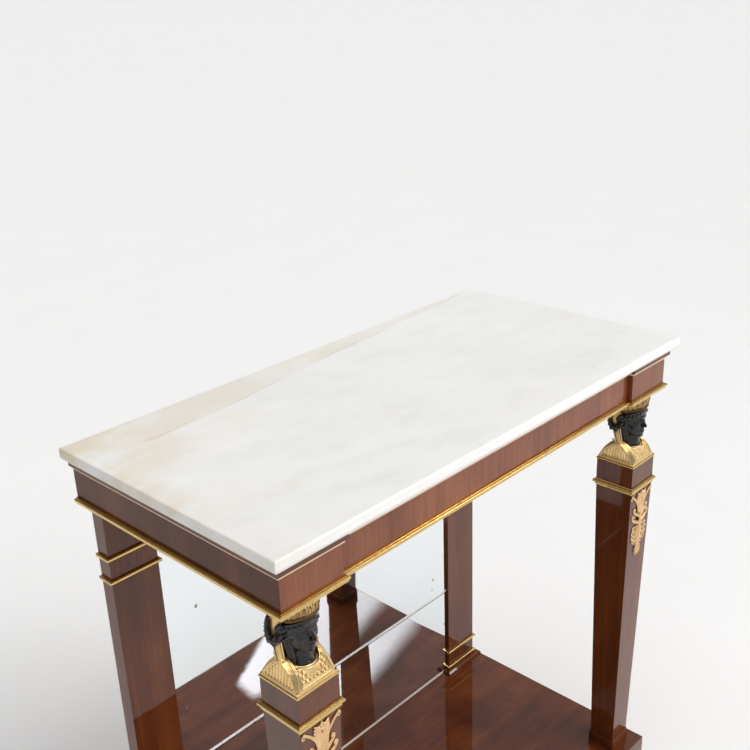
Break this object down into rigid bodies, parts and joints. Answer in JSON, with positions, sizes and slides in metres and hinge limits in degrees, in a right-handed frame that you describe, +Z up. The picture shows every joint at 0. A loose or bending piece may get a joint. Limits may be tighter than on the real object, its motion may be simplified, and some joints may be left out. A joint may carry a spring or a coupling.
{
  "type": "pier table",
  "caption": "Pier table with a loose marble top on a breakfront frieze, tapered bust-headed front legs, flat rear pilasters, a mirror back and a solid platform base.",
  "frame": {"origin": "on the floor, below the middle of the table's outline", "axes": "+Z up, +X to the right seen from the front, front faces -Y, back plane at +Y"},
  "size_m": [0.87, 0.428, 0.885],
  "materials": {
    "marble": "polished white marble with light stains",
    "mahogany": "french-polished mahogany veneer",
    "pine": "plain softwood, unfinished",
    "slip_wood": "pale slip, rubbed",
    "gilt_brass": "burnished gilt brass",
    "gilt_bronze": "matt gilding with burnished edges",
    "dark_bronze": "dark patinated bronze",
    "iron": "plain iron",
    "mirror_glass": "old silvered glass"
  },
  "bodies": {
    "carcass": {"backboard_screws": "iron", "base_back_rail": "pine", "base_block_facing_left": "mahogany", "base_block_facing_right": "mahogany", "base_corner_blocks": "pine", "base_cross_bearers": "pine", "base_front_rail": "mahogany", "base_platform_board": "mahogany", "base_side_rail_left": "mahogany", "base_side_rail_right": "mahogany", "frieze_back_rail": "pine", "frieze_block_facing_left": "mahogany", "frieze_block_facing_right": "mahogany", "frieze_corner_blocks": "pine", "frieze_cross_bearers": "pine", "frieze_front_rail": "mahogany", "frieze_moulding_block_left": "gilt_brass", "frieze_moulding_block_right": "gilt_brass", "frieze_moulding_centre": "gilt_brass", "frieze_moulding_side_left": "gilt_brass", "frieze_moulding_side_right": "gilt_brass", "frieze_side_rail_left": "mahogany", "frieze_side_rail_right": "mahogany", "frieze_soffit_board": "pine", "herm_band_lower_left": "gilt_brass", "herm_band_lower_right": "gilt_brass", "herm_band_upper_left": "gilt_brass", "herm_band_upper_right": "gilt_brass", "herm_cap_block_left": "mahogany", "herm_cap_block_right": "mahogany", "herm_crown_left": "gilt_bronze", "herm_crown_right": "gilt_bronze", "herm_foot_band_left": "mahogany", "herm_foot_band_right": "mahogany", "herm_head_left": "dark_bronze", "herm_head_right": "dark_bronze", "herm_iron_rod_left": "iron", "herm_iron_rod_right": "iron", "herm_leaf_mount_left": "gilt_bronze", "herm_leaf_mount_right": "gilt_bronze", "herm_shaft_left": "mahogany", "herm_shaft_right": "mahogany", "herm_shoulders_left": "gilt_bronze", "herm_shoulders_right": "gilt_bronze", "herm_straps_left": "gilt_bronze", "herm_straps_right": "gilt_bronze", "leaf_mount_pins": "gilt_bronze", "mirror_backboards": "pine", "mirror_bottom_slip": "slip_wood", "mirror_plate_lower": "mirror_glass", "mirror_plate_upper": "mirror_glass", "pilaster_collars_left": "gilt_brass", "pilaster_collars_right": "gilt_brass", "pilaster_plinth_left": "mahogany", "pilaster_plinth_right": "mahogany", "rear_pilaster_left": "mahogany", "rear_pilaster_right": "mahogany", "sub_top_board": "mahogany"},
    "slab": {"marble_top": "marble"}
  },
  "joints": [
    {"name": "slab_lift", "type": "slide", "parent": "carcass", "child": "slab", "axis": [0, 0, 1], "range_m": [0, 0.08]}
  ]
}
